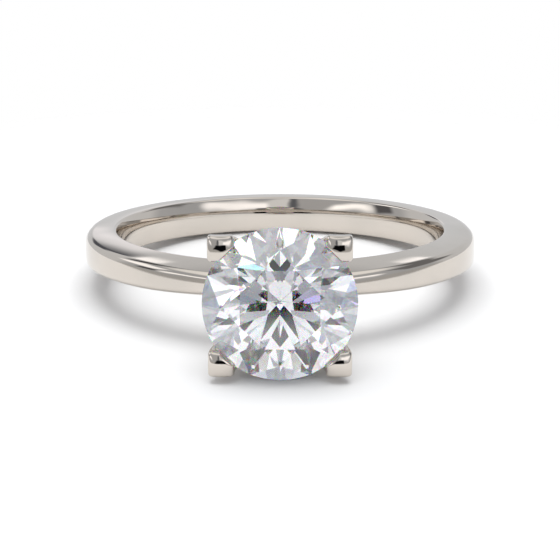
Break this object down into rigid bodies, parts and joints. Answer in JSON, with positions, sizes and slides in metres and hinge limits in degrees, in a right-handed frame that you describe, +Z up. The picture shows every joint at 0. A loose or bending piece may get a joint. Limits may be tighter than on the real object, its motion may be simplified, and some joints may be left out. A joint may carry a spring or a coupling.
{
  "type": "engagement ring",
  "caption": "Solitaire engagement ring lying down: plain tapering band, claw head on a base block, and a round brilliant stone.",
  "frame": {"origin": "centre of the ring's footprint box on the surface it lies on", "axes": "+Z up from the surface; -Y towards the stone and the viewer; +X to the right; the finger axis leans 6.3 degrees from +Z towards +Y"},
  "size_m": [0.02, 0.0246, 0.007],
  "materials": {
    "white_metal": "high-polish white precious metal",
    "stone": "polished facets"
  },
  "bodies": {
    "root": {"shank": "white_metal", "head_base": "white_metal", "lower_rail": "white_metal", "upper_rail": "white_metal", "claw_upper_right": "white_metal", "claw_upper_left": "white_metal", "claw_lower_left": "white_metal", "claw_lower_right": "white_metal", "diamond": "stone"}
  },
  "joints": []
}
